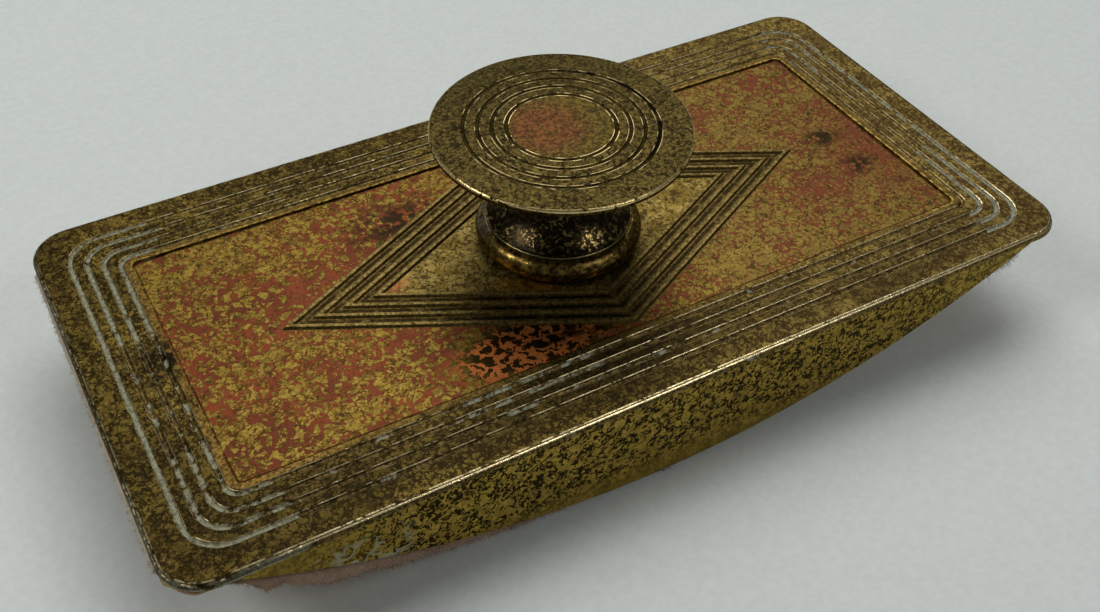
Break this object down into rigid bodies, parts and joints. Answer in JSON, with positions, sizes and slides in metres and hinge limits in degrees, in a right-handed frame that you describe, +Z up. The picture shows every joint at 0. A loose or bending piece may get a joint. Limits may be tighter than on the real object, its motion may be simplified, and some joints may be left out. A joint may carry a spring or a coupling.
{
  "type": "rocker ink blotter",
  "caption": "Desk rocker blotter with a stamped brass cover, arc-cut skirts, spool knob and a strip of blotting paper clamped round a curved rocker plate.",
  "frame": {"origin": "centre of the line where the paper's lowest point touches the desk, when the blotter stands level", "axes": "+X along the length of the cover, which is the rocking direction; +Y to the back; +Z up through the knob"},
  "size_m": [0.1406, 0.07, 0.0366],
  "materials": {
    "bronze_cover": "antique bronze plating, mottled and worn",
    "brass_sheet": "dull raw sheet",
    "blotting_paper": "matte fibrous pink",
    "steel_strap": "dull zinc plate",
    "brass_rivet": "satin",
    "brass_nut": "satin",
    "bronze_disc": "antique bronze, fine speckle",
    "dark_neck": "dark oxidised, glossy, worn to gold in flecks",
    "gold_bead": "polished gold lacquer with dark patches",
    "brass_stud": "satin, oiled",
    "brass_collar": "satin"
  },
  "bodies": {
    "rocker": {"rocker_plate": "brass_sheet", "blotting_paper": "blotting_paper", "bridge_strap": "steel_strap", "bridge_rivets": "brass_rivet", "square_nut": "brass_nut"},
    "cover": {"cover_plate": "bronze_cover"},
    "knob": {"knob_disc": "bronze_disc", "knob_neck": "dark_neck", "knob_bead": "gold_bead", "knob_stud": "brass_stud", "stud_collar": "brass_collar"}
  },
  "joints": [
    {"name": "cover_lift", "type": "slide", "parent": "rocker", "child": "cover", "axis": [0, 0, 1], "range_m": [0, 0.0048]},
    {"name": "knob_turn", "type": "hinge", "parent": "cover", "child": "knob", "pos_m": [0, 0, 0.0172], "axis": [0, 0, 1], "range_deg": [0, 2160]}
  ],
  "couplings": [
    {"joint": "knob_turn", "follows": "cover_lift", "rad_per_m": 7854}
  ]
}
